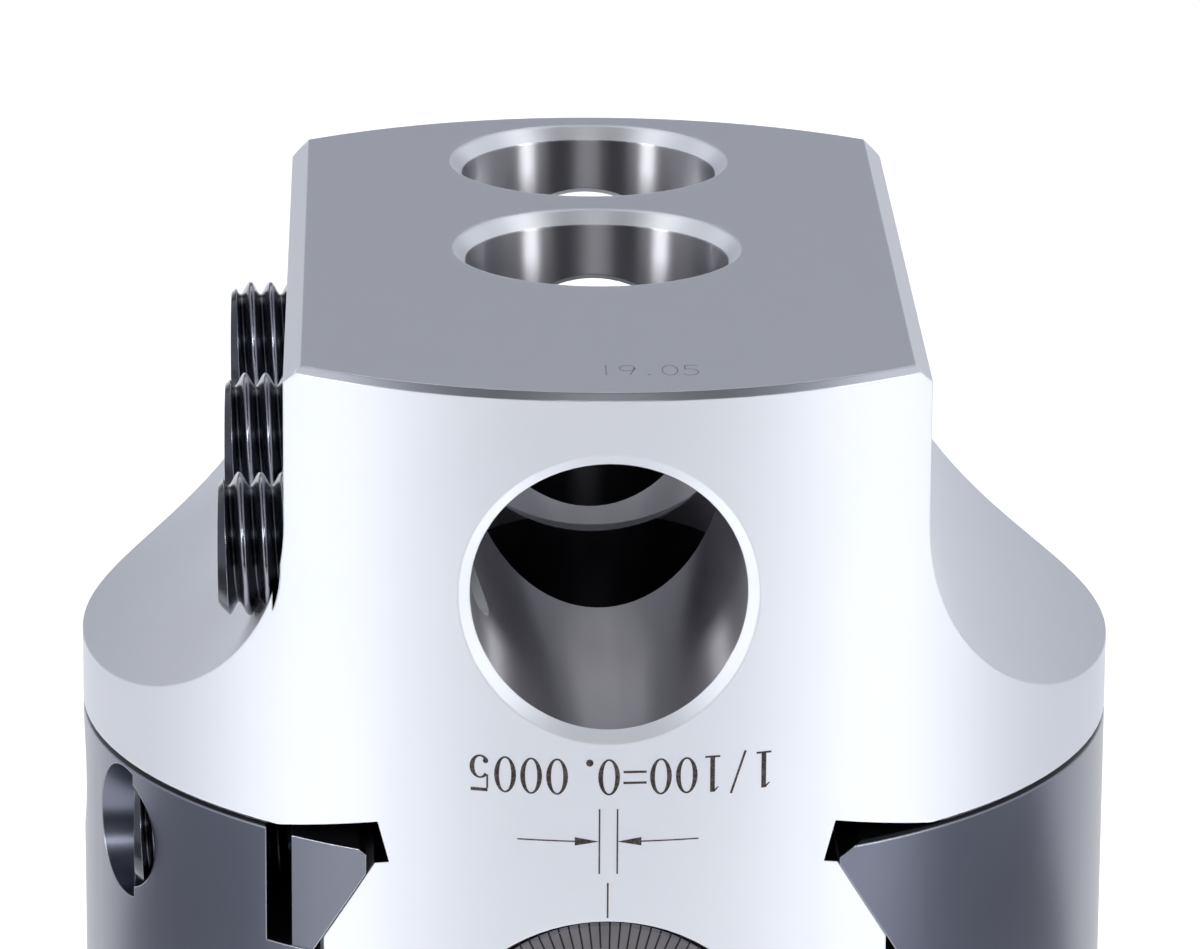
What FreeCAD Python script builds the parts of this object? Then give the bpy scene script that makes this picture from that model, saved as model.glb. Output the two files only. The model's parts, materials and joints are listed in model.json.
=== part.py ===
"""An offset boring head, 75 mm across, standing on the face that its shank screws into.

A black body carries a bright slide in a dovetail way. A gib strip on the left takes up the play.
The slide has three bar bores and a graduated screw that moves it across the body.
Lengths are in millimetres. X is across the dovetail, Y is along the slide's travel, and Z is the
spindle axis. The origin is the centre of the mounting face.
"""
import FreeCAD, Part
import math
import os

# Body
head_diameter = 75.0
body_edge_break = 0.3
mounting_chamfer = 1.0
slot_depth = 29.9
web_thickness = 4.0

# Shank socket in the mounting face, drawn as a plain wall at the thread's inner diameter
shank_thread_inner_diameter = 36.6
shank_socket_depth = 12.5
shank_socket_chamfer = 1.0

# Dovetail ways
dovetail_angle = 60.0
dovetail_neck_half = 15.45
way_depth = 8.6
way_lip_width = 0.8
way_lip_chamfer_width = 1.45
way_lip_drop = 0.9
way_gap = 0.02
flank_gap = 0.03
cheek_gap = 1.8

# Slide above the ways
slide_height = 33.8
slide_neck_inset = 15.15
slide_neck_chamfer = 1.27
slide_side_radius = 17.0
slide_rim_thickness = 5.3
slide_top_break = 0.5
slide_edge_break = 0.25
relief_run = 0.45
relief_rise = 1.9
tongue_root_inset = 0.35
tongue_root_drop = 0.97
tongue_lip_drop = 1.2
tongue_flank_drop = 7.4
tongue_floor_gap = 0.6

# Bar bores
bar_diameter = 19.05
bar_bore_gap = 0.005
bar_bore_chamfer = 1.0
cross_bore_chamfer = 0.85
offset_bore_wall = 3.57
bar_bore_floor = 2.0
cross_bore_rise = 19.1
crossing_break = 0.4
crossing_side_gap = 0.1
crossing_disc_thickness = 2.0

# Bar clamp screws
clamp_screw_diameter = 10.0
clamp_screw_length = 16.0
clamp_screw_stand_out = 4.3
clamp_screw_hex = 5.0
clamp_screw_hex_depth = 4.5
clamp_mouth_chamfer = 0.5

# Gib strip
gib_foot_width = 1.45
gib_top_drop = 0.4
gib_nose_run = 1.25
gib_nose_drop = 0.75
gib_corner_run = 0.5
gib_end_setback = 0.1
gib_dimple_depth = 0.8
gib_dimple_gap = 0.05

# Gib screws
gib_screw_diameter = 8.0
gib_screw_setback = 4.2
gib_screw_point_diameter = 5.0
gib_screw_point_length = 1.2
gib_screw_hex = 4.0
gib_screw_hex_depth = 3.5
gib_screw_spacing = 15.8
gib_screw_drop = 5.2
gib_recess_diameter = 9.6
gib_recess_depth = 4.1

# Shared by all set screws
screw_gap = 0.05
screw_end_chamfer = 0.8

# Adjusting screw, which turns in the slide
dial_floor_wall = 1.21
thread_diameter = 9.525
dial_diameter = 23.4
dial_gap = 0.25
dial_setback = 0.7
dial_thickness = 6.5
dial_edge_chamfer = 0.35
screw_head_diameter = 13.0
screw_flange_diameter = 18.0
screw_flange_thickness = 2.0
screw_socket_hex = 5.0
screw_socket_depth = 4.0
head_fit_gap = 0.02
journal_diameter = 11.0
journal_gap = 0.04
axial_gap = 0.05
washer_diameter = 20.0
washer_thickness = 1.0
front_wall_thickness = 7.2
rear_journal_diameter = 7.0
rear_journal_length = 7.4
bush_diameter = 11.0
bush_length = 8.0
bush_fit_gap = 0.01

# Collar and pin behind the front bearing wall
collar_diameter = 14.0
collar_thickness = 3.0
pin_diameter = 2.0
pin_setback = 0.2

# Grub screw that holds the dial to the screw's head
grub_diameter = 3.0
grub_setback = 0.6
grub_face_distance = 2.4

# Nut, fixed in the body's slot
travel = 25.4
nut_half_width = 7.0
nut_length = 10.0
nut_end_gap = 0.55
channel_side_gap = 0.4
channel_top_gap = 0.56
nut_screw_diameter = 4.0
nut_screw_spacing = 8.0
nut_screw_head_diameter = 7.6
nut_screw_grip = 5.0
nut_screw_hex = 2.5
nut_screw_hex_depth = 1.5

# Shank lock screw and its soft pad, on the right side
lock_screw_diameter = 8.0
lock_screw_length = 12.0
lock_screw_setback = 1.0
lock_screw_hex = 4.0
lock_screw_hex_depth = 4.0
lock_pad_diameter = 6.0
lock_pad_gap = 0.1

# Places that follow from the sizes above
head_radius = head_diameter / 2
beyond = head_diameter
overrun = 1.0
touching = 0.001
edge_samples = 7
slope = math.tan(math.radians(90.0 - dovetail_angle))
side_gap = flank_gap / math.sin(math.radians(dovetail_angle))
slot_floor_z = shank_socket_depth + web_thickness
body_height = slot_floor_z + slot_depth
shoulder_z = body_height - way_depth
slot_half = dovetail_neck_half + way_depth * slope
way_lip_half = dovetail_neck_half + way_lip_width
way_lip_top_half = way_lip_half + way_lip_chamfer_width
relief_inner_half = dovetail_neck_half + relief_run
tongue_root_half = dovetail_neck_half - tongue_root_inset
gib_outer_half = slot_half + side_gap + gib_foot_width
cheek_inner_half = gib_outer_half + cheek_gap
slide_seat_z = body_height + way_gap
slide_top_z = slide_seat_z + slide_height
bar_bore_radius = bar_diameter / 2 + bar_bore_gap
bar_floor_z = slide_seat_z + bar_bore_floor
offset_bore_y = head_radius - offset_bore_wall - bar_bore_radius
cross_bore_z = slide_seat_z + cross_bore_rise
slide_neck_half = head_radius - slide_neck_inset
side_arc_top_z = slide_seat_z + slide_rim_thickness + slide_side_radius
side_arc_x = slide_neck_half + slide_side_radius
tongue_floor_z = slot_floor_z + tongue_floor_gap
dial_recess_radius = dial_diameter / 2 + dial_gap
adjusting_z = tongue_floor_z + dial_floor_wall + dial_recess_radius
gib_screw_z = body_height - gib_screw_drop
gib_screw_outer_x = gib_screw_setback - head_radius
gib_recess_floor_x = gib_recess_depth - head_radius
lock_screw_z = shank_socket_depth / 2
dial_face_y = dial_setback - head_radius
dial_back_y = dial_face_y + dial_thickness
dial_flange_y = dial_back_y - screw_flange_thickness
grub_y = dial_face_y + grub_face_distance
recess_floor_y = dial_back_y + axial_gap + washer_thickness
channel_front_y = recess_floor_y + front_wall_thickness
collar_front_y = channel_front_y + axial_gap
collar_rear_y = collar_front_y + collar_thickness
nut_front_y = collar_rear_y + nut_end_gap + travel
nut_rear_y = nut_front_y + nut_length
channel_rear_y = nut_rear_y + nut_end_gap
channel_half = nut_half_width + channel_side_gap
nut_center_y = (nut_front_y + nut_rear_y) / 2

X_AXIS = FreeCAD.Vector(1, 0, 0)
Y_AXIS = FreeCAD.Vector(0, 1, 0)
Z_AXIS = FreeCAD.Vector(0, 0, 1)


def flank_x(z):
    """Half width of the body's dovetail way at a height."""
    return dovetail_neck_half + (body_height - z) * slope


def rod(axis, radius, start, end, x=0.0, y=0.0, z=0.0):
    """Round bar along one axis, from start to end on it. The other two places are x, y or z."""
    base = FreeCAD.Vector(x, y, z) + axis * start
    return Part.makeCylinder(radius, end - start, base, axis)


def taper(axis, start_radius, end_radius, start, end, x=0.0, y=0.0, z=0.0):
    """Round bar whose radius changes evenly from start to end."""
    base = FreeCAD.Vector(x, y, z) + axis * start
    return Part.makeCone(start_radius, end_radius, end - start, base, axis)


def section_point(x, z):
    """Corner of a section that is drawn in the XZ plane."""
    return FreeCAD.Vector(x, -beyond, z)


def line(start, end):
    """Straight edge between two section corners, each given as (x, z)."""
    return Part.LineSegment(section_point(*start), section_point(*end)).toShape()


def outline(points):
    """Closed run of straight edges through section corners."""
    ends = points[1:] + points[:1]
    return [line(start, end) for start, end in zip(points, ends)]


def extrude_along_y(edges):
    """Solid of a section, long enough to pass right through the head."""
    wire = Part.Wire(Part.__sortEdges__(edges))
    return Part.Face(wire).extrude(Y_AXIS * 2 * beyond)


def mirrored(points):
    """The same section corners on the left side, in the opposite order."""
    return [(-x, z) for x, z in reversed(points)]


def hexagon(axis, side_axis, across_flats, start, end, place):
    """Hexagon prism along an axis, through a place."""
    corner_radius = across_flats / math.sqrt(3)
    other_axis = axis.cross(side_axis)
    corners = []
    for corner in range(6):
        turn = math.radians(60 * corner)
        offset = side_axis * corner_radius * math.cos(turn) + other_axis * corner_radius * math.sin(turn)
        corners.append(place + axis * start + offset)
    wire = Part.makePolygon(corners + corners[:1])
    return Part.Face(wire).extrude(axis * (end - start))


def set_screw(diameter, length, across_flats, hex_depth):
    """Flat-point socket set screw along +X, its chamfered outer end at the origin."""
    radius = diameter / 2
    screw = taper(X_AXIS, radius - screw_end_chamfer, radius, 0, screw_end_chamfer)
    screw = screw.fuse(rod(X_AXIS, radius, screw_end_chamfer, length))
    socket = hexagon(X_AXIS, Z_AXIS, across_flats, 0, hex_depth, FreeCAD.Vector(0, 0, 0))
    return screw.cut(socket).removeSplitter()


def moved(shape, x, y, z):
    """Copy of a shape at another place."""
    copy = shape.copy()
    copy.translate(FreeCAD.Vector(x, y, z))
    return copy


def gib_screw_ys():
    """Places of the front, middle and rear gib screws along the strip."""
    return (-gib_screw_spacing, 0.0, gib_screw_spacing)


def shank_socket():
    """Hole that the shank screws into, with its chamfered mouth."""
    radius = shank_thread_inner_diameter / 2
    hole = rod(Z_AXIS, radius, 0, shank_socket_depth)
    mouth = taper(Z_AXIS, radius + shank_socket_chamfer, radius, 0, shank_socket_chamfer)
    return hole.fuse(mouth)


def body_slot():
    """Dovetail way, gib space and deep slot, as one section along the travel."""
    lip_z = body_height - (way_lip_half - dovetail_neck_half) / slope
    above = body_height + beyond
    points = [
        (-cheek_inner_half, above),
        (-cheek_inner_half, shoulder_z),
        (-slot_half, shoulder_z),
        (-slot_half, slot_floor_z),
        (slot_half, slot_floor_z),
        (slot_half, shoulder_z),
        (way_lip_half, lip_z),
        (way_lip_half, body_height - way_lip_drop),
        (way_lip_top_half, body_height),
        (way_lip_top_half, above),
    ]
    return extrude_along_y(outline(points))


def gib_screw_holes():
    """Tapped holes through the left cheek, each with a round recess for the wrench."""
    holes = []
    for y in gib_screw_ys():
        radius = gib_screw_diameter / 2 + screw_gap
        holes.append(rod(X_AXIS, radius, -beyond, -gib_outer_half, y=y, z=gib_screw_z))
        recess_radius = gib_recess_diameter / 2
        holes.append(rod(X_AXIS, recess_radius, -beyond, gib_recess_floor_x, y=y, z=gib_screw_z))
    return holes


def nut_screw_xs():
    """Places of the two nut screws across the slot."""
    return (-nut_screw_spacing / 2, nut_screw_spacing / 2)


def countersunk_rod(x, gap, stem_end_z):
    """Countersunk screw shape up from the shank socket, or its hole where a gap is given."""
    head_radius_sunk = nut_screw_head_diameter / 2 + gap
    stem_radius = nut_screw_diameter / 2 + gap
    sink_end_z = shank_socket_depth + head_radius_sunk - stem_radius
    sink = taper(Z_AXIS, head_radius_sunk, stem_radius, shank_socket_depth, sink_end_z, x=x, y=nut_center_y)
    stem = rod(Z_AXIS, stem_radius, sink_end_z, stem_end_z, x=x, y=nut_center_y)
    return sink.fuse(stem).removeSplitter()


def nut_screw_holes():
    """Countersunk holes through the web, from the shank socket up into the slot."""
    return [countersunk_rod(x, screw_gap, slot_floor_z + overrun) for x in nut_screw_xs()]


def lock_screw_inner_x():
    """Inner end of the shank lock screw."""
    return head_radius - lock_screw_setback - lock_screw_length


def lock_screw_hole():
    """Tapped hole in the right side, with a smaller one for the pad down to the shank thread."""
    screw_radius = lock_screw_diameter / 2 + screw_gap
    pad_radius = lock_pad_diameter / 2 + screw_gap
    tapped = rod(X_AXIS, screw_radius, lock_screw_inner_x() - lock_pad_gap, beyond, z=lock_screw_z)
    plain = rod(X_AXIS, pad_radius, 0, lock_screw_inner_x(), z=lock_screw_z)
    return tapped.fuse(plain)


def edges_where(shape, test):
    """Edges of a shape that pass a test all along."""
    return [edge for edge in shape.Edges if all(test(point) for point in edge.discretize(edge_samples))]


def on_turned_outside(point):
    """Whether a point is on the head's outer cylinder."""
    return abs(math.hypot(point.x, point.y) - head_radius) < touching


def outer_rim(shape, z):
    """Edges of the outer cylinder that lie level at a height."""
    return edges_where(shape, lambda point: on_turned_outside(point) and abs(point.z - z) < touching)


def make_head_body():
    """Round black body with the ways across its top and the shank socket below."""
    body = rod(Z_AXIS, head_radius, 0, body_height)
    body = body.makeChamfer(mounting_chamfer, outer_rim(body, 0))
    body = body.makeChamfer(body_edge_break, outer_rim(body, body_height))
    cuts = [body_slot(), shank_socket(), lock_screw_hole()] + gib_screw_holes() + nut_screw_holes()
    return body.cut(cuts).removeSplitter()


def slide_upper_section():
    """Section of the slide above the ways: neck, concave sides and rim."""
    outer = max(head_radius, side_arc_x) + overrun
    rim_z = slide_seat_z + slide_rim_thickness
    half_way = slide_side_radius * math.sqrt(0.5)
    arc_middle = (side_arc_x - half_way, side_arc_top_z - half_way)
    neck_top = [
        (slide_neck_half - slide_neck_chamfer, slide_top_z),
        (slide_neck_half, slide_top_z - slide_neck_chamfer),
        (slide_neck_half, side_arc_top_z),
    ]
    below = [
        (side_arc_x, rim_z),
        (outer, rim_z),
        (outer, slide_seat_z),
        (cheek_inner_half, slide_seat_z),
        (relief_inner_half, slide_seat_z + relief_rise),
    ]
    edges = []
    for side in (1, -1):
        upper = [(side * x, z) for x, z in neck_top]
        lower = [(side * x, z) for x, z in below]
        edges += [line(start, end) for start, end in zip(upper, upper[1:])]
        edges += [line(start, end) for start, end in zip(lower, lower[1:])]
        arc_points = [upper[-1], (side * arc_middle[0], arc_middle[1]), lower[0]]
        edges.append(Part.Arc(*[section_point(*point) for point in arc_points]).toShape())
    edges.append(line((-neck_top[0][0], slide_top_z), (neck_top[0][0], slide_top_z)))
    edges.append(line((-relief_inner_half, below[-1][1]), (relief_inner_half, below[-1][1])))
    return edges


def tongue_section():
    """Section of the male dovetail and the deep tongue below it."""
    lip_z = slide_seat_z - tongue_lip_drop
    flank_end_z = slide_seat_z - tongue_flank_drop
    right = [
        (relief_inner_half, slide_seat_z + relief_rise),
        (tongue_root_half, slide_seat_z - tongue_root_drop),
        (flank_x(lip_z) - side_gap, lip_z),
        (flank_x(flank_end_z) - side_gap, flank_end_z),
        (flank_x(flank_end_z) - side_gap, tongue_floor_z),
    ]
    return outline(right + mirrored(right))


def slide_blank():
    """Turned outside of the slide, with its top edge broken."""
    blank = rod(Z_AXIS, head_radius, slide_seat_z, slide_top_z)
    return blank.makeChamfer(slide_top_break, outer_rim(blank, slide_top_z))


def bar_bores():
    """The upright centre and offset bores, with their mouths and the broken edges inside."""
    bores = []
    for y in (0.0, offset_bore_y):
        bores.append(rod(Z_AXIS, bar_bore_radius, bar_floor_z, slide_top_z + overrun, y=y))
        mouth = taper(Z_AXIS, bar_bore_radius, bar_bore_radius + bar_bore_chamfer,
                      slide_top_z - bar_bore_chamfer, slide_top_z, y=y)
        bores += [mouth, crossing_disc(y, 45), crossing_disc(y, -45)]
    return bores


def crossing_disc(y, lean):
    """Thin elliptic disc that breaks one of the two edges where the cross bore meets an upright bore.

    Bores of one size meet in two ellipses, each in a plane that leans by 45 degrees. The disc lies in
    that plane and is a little too long for the bores, but not too wide.
    """
    origin = FreeCAD.Vector(0, 0, 0)
    half_length = (bar_bore_radius + crossing_break / 2) * math.sqrt(2)
    ellipse = Part.Ellipse(origin, half_length, bar_bore_radius - crossing_side_gap)
    disc = Part.Face(Part.Wire(ellipse.toShape())).extrude(Z_AXIS * crossing_disc_thickness)
    disc = moved(disc, 0, 0, -crossing_disc_thickness / 2)
    disc.rotate(origin, Z_AXIS, 90)
    disc.rotate(origin, X_AXIS, lean)
    return moved(disc, 0, y, cross_bore_z)


def clamp_screw_ys():
    """Places of the three bar clamp screws along the slide."""
    return (-offset_bore_y, 0.0, offset_bore_y)


def neck_side_x(z):
    """Half width of the slide's neck at a height, on the flat or on the concave side."""
    drop = max(0.0, side_arc_top_z - z)
    return side_arc_x - math.sqrt(slide_side_radius ** 2 - drop ** 2)


def clamp_screw_holes():
    """Tapped holes through the slide's left side into the bar bores."""
    holes = []
    side = neck_side_x(cross_bore_z)
    outer_x = -side - clamp_screw_stand_out
    radius = clamp_screw_diameter / 2 + screw_gap
    for y in clamp_screw_ys():
        holes.append(rod(X_AXIS, radius, outer_x, -bar_bore_radius / 2, y=y, z=cross_bore_z))
        mouth = taper(X_AXIS, radius + 2 * clamp_mouth_chamfer, radius, -side - clamp_mouth_chamfer,
                      -side + clamp_mouth_chamfer, y=y, z=cross_bore_z)
        holes.append(mouth)
    return holes


def adjusting_screw_space():
    """Dial recess, front bearing, nut channel and rear bush seat in the tongue."""
    bearing_radius = journal_diameter / 2 + journal_gap
    bush_seat_radius = bush_diameter / 2 + bush_fit_gap
    bearing_end_y = channel_front_y + overrun
    bush_end_y = channel_rear_y + bush_length
    recess = rod(Y_AXIS, dial_recess_radius, -beyond, recess_floor_y, z=adjusting_z)
    bearing = rod(Y_AXIS, bearing_radius, recess_floor_y - overrun, bearing_end_y, z=adjusting_z)
    bush_seat = rod(Y_AXIS, bush_seat_radius, channel_rear_y - overrun, bush_end_y, z=adjusting_z)
    channel_top_z = adjusting_z + nut_half_width + channel_top_gap
    channel_length = channel_rear_y - channel_front_y
    corner = FreeCAD.Vector(-channel_half, channel_front_y, tongue_floor_z - overrun)
    channel = Part.makeBox(2 * channel_half, channel_length, channel_top_z - corner.z, corner)
    return [recess, bearing, bush_seat, channel]


def on_cross_bore(point):
    """Whether a point is on the wall of the bore right across."""
    return abs(math.hypot(point.x, point.z - cross_bore_z) - bar_bore_radius) < touching


def make_bar_slide():
    """Bright slide: dovetail tongue, neck with the bar bores, and concave sides."""
    upper = extrude_along_y(slide_upper_section()).common(slide_blank())
    round_blank = rod(Z_AXIS, head_radius, 0, slide_top_z)
    tongue = extrude_along_y(tongue_section()).common(round_blank)
    slide = upper.fuse(tongue).removeSplitter()
    slide = slide.makeChamfer(slide_edge_break, outer_rim(slide, slide_seat_z))
    slide = slide.cut(rod(Y_AXIS, bar_bore_radius, -beyond, beyond, z=cross_bore_z))
    mouths = edges_where(slide, lambda point: on_turned_outside(point) and on_cross_bore(point))
    slide = slide.makeChamfer(cross_bore_chamfer, mouths)
    cuts = bar_bores() + clamp_screw_holes() + adjusting_screw_space()
    return slide.cut(cuts).removeSplitter()


def make_gib_strip():
    """Tapered-section strip between the left cheek and the slide's flank."""
    gib_nose_half = dovetail_neck_half + gib_nose_run
    nose_bottom_z = body_height - (gib_nose_run - side_gap) / slope
    points = [
        (-gib_outer_half, shoulder_z),
        (-gib_outer_half, body_height - gib_top_drop),
        (-gib_nose_half - gib_corner_run, body_height - gib_top_drop),
        (-gib_nose_half, body_height - gib_nose_drop),
        (-gib_nose_half, nose_bottom_z),
        (-flank_x(shoulder_z) - side_gap, shoulder_z),
    ]
    strip = extrude_along_y(outline(points))
    strip = strip.common(rod(Z_AXIS, head_radius - gib_end_setback, 0, body_height))
    dimple_radius = gib_screw_point_diameter / 2 + gib_dimple_gap
    dimple_floor_x = gib_dimple_depth - gib_outer_half
    for y in gib_screw_ys():
        strip = strip.cut(rod(X_AXIS, dimple_radius, -cheek_inner_half, dimple_floor_x, y=y, z=gib_screw_z))
    return strip


def make_gib_screw():
    """Gib screw with a small point that sits in the strip's dimple."""
    tip_x = gib_dimple_depth - gib_dimple_gap - gib_outer_half
    length = tip_x - gib_screw_outer_x
    thread_end = length - gib_screw_point_length
    screw = set_screw(gib_screw_diameter, thread_end, gib_screw_hex, gib_screw_hex_depth)
    return screw.fuse(rod(X_AXIS, gib_screw_point_diameter / 2, thread_end, length))


def make_clamp_screw():
    """Bar clamp screw with a flat point."""
    return set_screw(clamp_screw_diameter, clamp_screw_length, clamp_screw_hex, clamp_screw_hex_depth)


def collar_pin_rod(half_length):
    """Upright rod through the middle of the collar, for the pin and for its holes."""
    pin_y = (collar_front_y + collar_rear_y) / 2
    return rod(Z_AXIS, pin_diameter / 2, adjusting_z - half_length, adjusting_z + half_length, y=pin_y)


def make_adjusting_screw():
    """Screw with a stepped head, a front journal, the lead thread and a rear journal."""
    steps = [
        (screw_head_diameter, dial_face_y, dial_flange_y),
        (screw_flange_diameter, dial_flange_y, dial_back_y),
        (journal_diameter, dial_back_y, collar_front_y),
        (thread_diameter, collar_front_y, nut_rear_y),
        (rear_journal_diameter, nut_rear_y, channel_rear_y + rear_journal_length),
    ]
    rods = [rod(Y_AXIS, diameter / 2, start, end, z=adjusting_z) for diameter, start, end in steps]
    screw = rods[0].fuse(rods[1:])
    socket_floor_y = dial_face_y + screw_socket_depth
    place = FreeCAD.Vector(0, 0, adjusting_z)
    socket = hexagon(Y_AXIS, Z_AXIS, screw_socket_hex, dial_face_y, socket_floor_y, place)
    return screw.cut([socket, collar_pin_rod(collar_diameter)]).removeSplitter()


def make_micrometer_dial():
    """Graduated ring that sits over the screw's head."""
    radius = dial_diameter / 2
    edge_y = dial_face_y + dial_edge_chamfer
    ring = taper(Y_AXIS, radius - dial_edge_chamfer, radius, dial_face_y, edge_y, z=adjusting_z)
    ring = ring.fuse(rod(Y_AXIS, radius, edge_y, dial_back_y, z=adjusting_z))
    bore_radius = screw_head_diameter / 2 + head_fit_gap
    bore = rod(Y_AXIS, bore_radius, dial_face_y - overrun, dial_back_y + overrun, z=adjusting_z)
    counterbore_radius = screw_flange_diameter / 2 + head_fit_gap
    counterbore = rod(Y_AXIS, counterbore_radius, dial_flange_y, dial_back_y + overrun, z=adjusting_z)
    grub_hole_radius = grub_diameter / 2 + head_fit_gap
    grub_hole = rod(Z_AXIS, grub_hole_radius, adjusting_z - dial_diameter, adjusting_z, y=grub_y)
    return ring.cut([bore, counterbore, grub_hole]).removeSplitter()


def make_dial_grub_screw():
    """Small grub screw, from the dial's rim down onto the screw's head."""
    inner = adjusting_z - screw_head_diameter / 2
    outer = adjusting_z - dial_diameter / 2 + grub_setback
    return rod(Z_AXIS, grub_diameter / 2, outer, inner - head_fit_gap, y=grub_y)


def make_thrust_washer():
    """Bronze washer on the floor of the dial recess."""
    washer_front_y = recess_floor_y - washer_thickness
    washer = rod(Y_AXIS, washer_diameter / 2, washer_front_y, recess_floor_y, z=adjusting_z)
    bore_radius = journal_diameter / 2 + journal_gap
    return washer.cut(rod(Y_AXIS, bore_radius, dial_face_y, channel_front_y, z=adjusting_z))


def make_thrust_collar():
    """Collar pinned to the screw behind the front bearing wall."""
    collar = rod(Y_AXIS, collar_diameter / 2, collar_front_y, collar_rear_y, z=adjusting_z)
    bore_radius = thread_diameter / 2 + head_fit_gap
    bore = rod(Y_AXIS, bore_radius, collar_front_y - overrun, collar_rear_y + overrun, z=adjusting_z)
    return collar.cut([bore, collar_pin_rod(collar_diameter)])


def make_collar_pin():
    """Straight pin through the collar and the screw."""
    return collar_pin_rod(collar_diameter / 2 - pin_setback)


def make_rear_bush():
    """Bronze bush for the rear journal."""
    bush_end_y = channel_rear_y + bush_length
    bush = rod(Y_AXIS, bush_diameter / 2, channel_rear_y, bush_end_y, z=adjusting_z)
    bore_radius = rear_journal_diameter / 2 + journal_gap
    return bush.cut(rod(Y_AXIS, bore_radius, channel_rear_y - overrun, bush_end_y + overrun, z=adjusting_z))


def make_lead_nut():
    """Bronze nut that stands on the slot floor, round over the screw."""
    corner = FreeCAD.Vector(-nut_half_width, nut_front_y, slot_floor_z)
    post = Part.makeBox(2 * nut_half_width, nut_length, adjusting_z - slot_floor_z, corner)
    crown = rod(Y_AXIS, nut_half_width, nut_front_y, nut_rear_y, z=adjusting_z)
    nut = post.fuse(crown).removeSplitter()
    thread_wall = thread_diameter / 2 + journal_gap
    cuts = [rod(Y_AXIS, thread_wall, nut_front_y - overrun, nut_rear_y + overrun, z=adjusting_z)]
    hole_radius = nut_screw_diameter / 2 + screw_gap
    hole_end_z = slot_floor_z + nut_screw_grip
    for x in nut_screw_xs():
        cuts.append(rod(Z_AXIS, hole_radius, slot_floor_z - overrun, hole_end_z, x=x, y=nut_center_y))
    return nut.cut(cuts)


def make_nut_screw(x):
    """Countersunk screw from the shank socket up into the nut."""
    screw = countersunk_rod(x, 0.0, slot_floor_z + nut_screw_grip - screw_gap)
    place = FreeCAD.Vector(x, nut_center_y, 0)
    socket_end_z = shank_socket_depth + nut_screw_hex_depth
    return screw.cut(hexagon(Z_AXIS, X_AXIS, nut_screw_hex, shank_socket_depth, socket_end_z, place))


def make_shank_lock_screw():
    """Set screw in the right side, pointing inwards at the shank thread."""
    screw = set_screw(lock_screw_diameter, lock_screw_length, lock_screw_hex, lock_screw_hex_depth)
    screw.rotate(FreeCAD.Vector(0, 0, 0), Z_AXIS, 180)
    return moved(screw, head_radius - lock_screw_setback, 0, lock_screw_z)


def make_shank_lock_pad():
    """Brass pad between the lock screw and the shank thread."""
    thread_wall = shank_thread_inner_diameter / 2 + lock_pad_gap
    pad = rod(X_AXIS, lock_pad_diameter / 2, 0, lock_screw_inner_x() - lock_pad_gap, z=lock_screw_z)
    return pad.cut(rod(Z_AXIS, thread_wall, -overrun, shank_socket_depth + overrun))


def all_parts():
    """Every sub-part under the name of its file."""
    parts = {
        "head_body": make_head_body(),
        "bar_slide": make_bar_slide(),
        "gib_strip": make_gib_strip(),
        "adjusting_screw": make_adjusting_screw(),
        "micrometer_dial": make_micrometer_dial(),
        "dial_grub_screw": make_dial_grub_screw(),
        "thrust_washer": make_thrust_washer(),
        "thrust_collar": make_thrust_collar(),
        "collar_pin": make_collar_pin(),
        "rear_bush": make_rear_bush(),
        "lead_nut": make_lead_nut(),
        "shank_lock_screw": make_shank_lock_screw(),
        "shank_lock_pad": make_shank_lock_pad(),
    }
    for name, x in zip(("nut_screw_left", "nut_screw_right"), nut_screw_xs()):
        parts[name] = make_nut_screw(x)
    gib_screw = make_gib_screw()
    for name, y in zip(("gib_screw_front", "gib_lock_screw", "gib_screw_rear"), gib_screw_ys()):
        parts[name] = moved(gib_screw, gib_screw_outer_x, y, gib_screw_z)
    clamp_screw = make_clamp_screw()
    clamp_outer_end = neck_side_x(cross_bore_z) + clamp_screw_stand_out
    for name, y in zip(("clamp_screw_cross", "clamp_screw_center", "clamp_screw_offset"), clamp_screw_ys()):
        parts[name] = moved(clamp_screw, -clamp_outer_end, y, cross_bore_z)
    return parts


os.makedirs("parts", exist_ok=True)
for node, shape in all_parts().items():
    shape.exportStep("parts/" + node + ".step")
    print(node, "solids", len(shape.Solids), "valid", shape.isValid(), "volume", round(shape.Volume, 1))
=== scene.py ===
# %% [markdown]
# # A boring head in Blender
# The object is a tool holder for a milling machine. A black body carries a bright slide in a
# dovetail way, and a graduated screw moves the slide sideways. It stands here with the end that
# takes the boring bars upwards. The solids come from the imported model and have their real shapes
# already, so this lesson adds what a solid leaves out: finishes, screw threads, engraved marks and light.

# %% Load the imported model
import bpy
import json
import math
from mathutils import Matrix, Quaternion, Vector


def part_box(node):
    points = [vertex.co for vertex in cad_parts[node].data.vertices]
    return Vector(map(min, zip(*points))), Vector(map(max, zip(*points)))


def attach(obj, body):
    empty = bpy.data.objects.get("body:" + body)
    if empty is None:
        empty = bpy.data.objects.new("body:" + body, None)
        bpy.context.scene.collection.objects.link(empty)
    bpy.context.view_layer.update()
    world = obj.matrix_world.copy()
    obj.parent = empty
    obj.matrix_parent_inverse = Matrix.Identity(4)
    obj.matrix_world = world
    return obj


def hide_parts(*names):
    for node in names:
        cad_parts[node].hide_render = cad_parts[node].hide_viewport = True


MM = 0.001
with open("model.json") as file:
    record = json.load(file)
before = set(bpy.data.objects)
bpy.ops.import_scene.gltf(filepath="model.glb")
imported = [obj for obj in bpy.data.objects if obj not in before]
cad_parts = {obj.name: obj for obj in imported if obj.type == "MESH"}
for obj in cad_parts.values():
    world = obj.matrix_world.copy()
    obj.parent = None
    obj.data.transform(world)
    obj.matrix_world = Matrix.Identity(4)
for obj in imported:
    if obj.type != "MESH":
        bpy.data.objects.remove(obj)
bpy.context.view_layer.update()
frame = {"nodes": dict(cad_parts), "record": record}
bpy.ops.object.select_all(action="DESELECT")

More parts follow.
